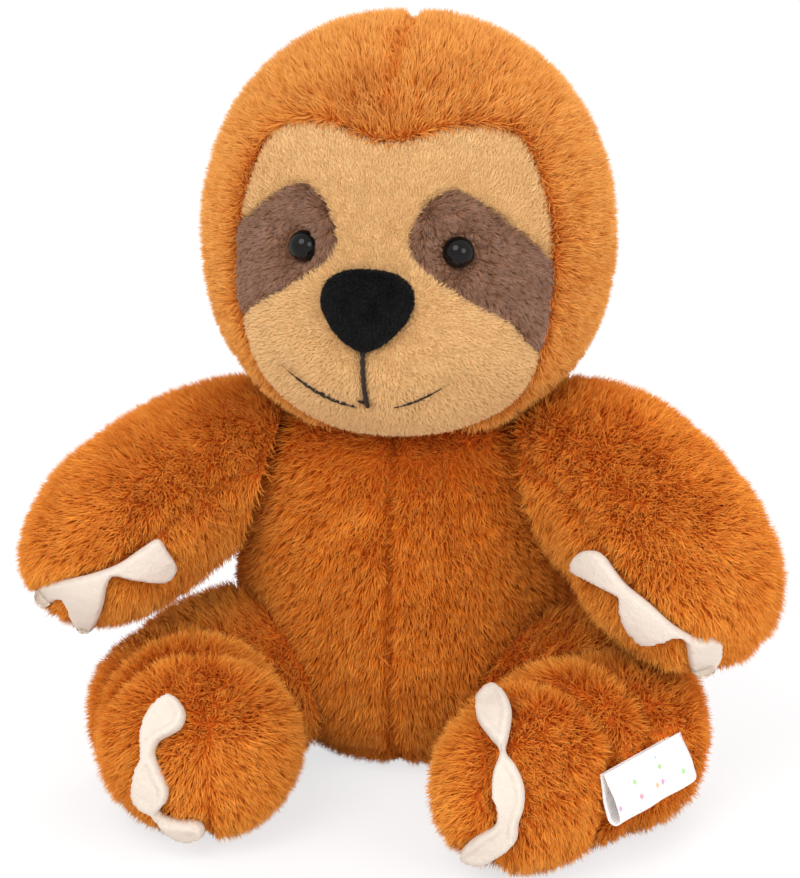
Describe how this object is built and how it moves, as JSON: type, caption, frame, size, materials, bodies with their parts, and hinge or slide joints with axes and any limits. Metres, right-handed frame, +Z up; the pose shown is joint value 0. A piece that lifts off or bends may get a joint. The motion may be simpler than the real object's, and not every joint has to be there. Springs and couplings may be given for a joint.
{
  "type": "plush sloth",
  "caption": "Seated soft toy sloth with long orange-brown fur, a short-pile face with dark eye patches, sewn claws, and a head, arms and legs that bend at their seams.",
  "frame": {"origin": "middle of the underside of the whole seated toy, on the surface that it sits on", "axes": "+Z up, the face looks towards -Y, the toy's own left side is towards +X"},
  "size_m": [0.1426, 0.1068, 0.147],
  "materials": {
    "head_fur": "matte",
    "body_fur": "matte",
    "limb_fur": "matte",
    "base_fur": "matte",
    "face_velour": "matte",
    "patch_velour": "matte",
    "nose_velour": "matte",
    "mouth_yarn": "matte",
    "claw_felt": "matte",
    "eye_plastic": "gloss",
    "washer_plastic": "satin",
    "sewing_thread": "matte",
    "fibre_fill": "matte",
    "pouch_cloth": "matte",
    "label_satin": "satin"
  },
  "bodies": {
    "torso": {"body_base_panel": "base_fur", "body_front_left": "body_fur", "body_front_right": "body_fur", "body_back_left": "body_fur", "body_back_right": "body_fur", "body_stuffing": "fibre_fill", "pellet_pouch": "pouch_cloth", "back_closing_thread": "sewing_thread"},
    "neck_seam": {"neck_thread": "sewing_thread"},
    "head": {"head_hood_left": "head_fur", "head_hood_right": "head_fur", "face_panel": "face_velour", "eye_patch_left": "patch_velour", "eye_patch_right": "patch_velour", "head_stuffing": "fibre_fill", "nose": "nose_velour", "mouth_thread": "mouth_yarn", "eye_left": "eye_plastic", "eye_right": "eye_plastic", "eye_washer_left": "washer_plastic", "eye_washer_right": "washer_plastic"},
    "shoulder_seam_left": {"shoulder_thread_left": "sewing_thread"},
    "arm_left": {"arm_left_outer": "limb_fur", "arm_left_palm": "limb_fur", "arm_left_stuffing": "fibre_fill", "hand_claws_left": "claw_felt"},
    "shoulder_seam_right": {"shoulder_thread_right": "sewing_thread"},
    "arm_right": {"arm_right_outer": "limb_fur", "arm_right_palm": "limb_fur", "arm_right_stuffing": "fibre_fill", "hand_claws_right": "claw_felt"},
    "hip_seam_left": {"hip_thread_left": "sewing_thread"},
    "leg_left": {"leg_left_outer": "limb_fur", "leg_left_inner": "limb_fur", "leg_left_stuffing": "fibre_fill", "foot_claws_left": "claw_felt"},
    "hip_seam_right": {"hip_thread_right": "sewing_thread"},
    "leg_right": {"leg_right_outer": "limb_fur", "leg_right_inner": "limb_fur", "leg_right_stuffing": "fibre_fill", "foot_claws_right": "claw_felt"},
    "label": {"label_loop": "label_satin"}
  },
  "joints": [
    {"name": "head_turn", "type": "hinge", "parent": "torso", "child": "neck_seam", "pos_m": [-0.00125, 0.02244, 0.072], "axis": [0, 0, 1], "range_deg": [-20, 20], "stiffness_Nm_per_rad": 0.3},
    {"name": "head_nod", "type": "hinge", "parent": "neck_seam", "child": "head", "pos_m": [-0.00125, 0.02244, 0.072], "axis": [1, 0, 0], "range_deg": [-6, 4], "stiffness_Nm_per_rad": 0.6},
    {"name": "arm_left_twist", "type": "hinge", "parent": "torso", "child": "shoulder_seam_left", "pos_m": [0.02537, 0.01971, 0.062], "axis": [0.9305, -0.1308, 0.342], "range_deg": [-10, 10], "stiffness_Nm_per_rad": 0.3},
    {"name": "arm_left_raise", "type": "hinge", "parent": "shoulder_seam_left", "child": "arm_left", "pos_m": [0.02537, 0.01971, 0.062], "axis": [-0.1392, -0.9903, 0], "range_deg": [-3, 15], "stiffness_Nm_per_rad": 0.3},
    {"name": "arm_right_twist", "type": "hinge", "parent": "torso", "child": "shoulder_seam_right", "pos_m": [-0.02788, 0.01971, 0.062], "axis": [0.9305, 0.1308, -0.342], "range_deg": [-10, 10], "stiffness_Nm_per_rad": 0.3},
    {"name": "arm_right_raise", "type": "hinge", "parent": "shoulder_seam_right", "child": "arm_right", "pos_m": [-0.02788, 0.01971, 0.062], "axis": [-0.1392, 0.9903, 0], "range_deg": [-3, 15], "stiffness_Nm_per_rad": 0.3},
    {"name": "leg_left_lift", "type": "hinge", "parent": "torso", "child": "hip_seam_left", "pos_m": [0.02215, 0.00969, 0.02023], "axis": [-0.7646, 0.5974, 0.2419], "range_deg": [0, 10], "stiffness_Nm_per_rad": 0.3},
    {"name": "leg_left_swing", "type": "hinge", "parent": "hip_seam_left", "child": "leg_left", "pos_m": [0.02215, 0.00969, 0.02023], "axis": [0.1906, -0.1489, 0.9703], "range_deg": [-7, 7], "stiffness_Nm_per_rad": 0.3},
    {"name": "leg_right_lift", "type": "hinge", "parent": "torso", "child": "hip_seam_right", "pos_m": [-0.02466, 0.00969, 0.02023], "axis": [-0.7646, -0.5974, -0.2419], "range_deg": [0, 10], "stiffness_Nm_per_rad": 0.3},
    {"name": "leg_right_swing", "type": "hinge", "parent": "hip_seam_right", "child": "leg_right", "pos_m": [-0.02466, 0.00969, 0.02023], "axis": [-0.1906, -0.1489, -0.9703], "range_deg": [-7, 7], "stiffness_Nm_per_rad": 0.3},
    {"name": "label_flap", "type": "hinge", "parent": "leg_left", "child": "label", "pos_m": [0.04985, -0.02891, 0.021], "axis": [-0.4694, -0.883, 0], "range_deg": [0, 45]}
  ]
}
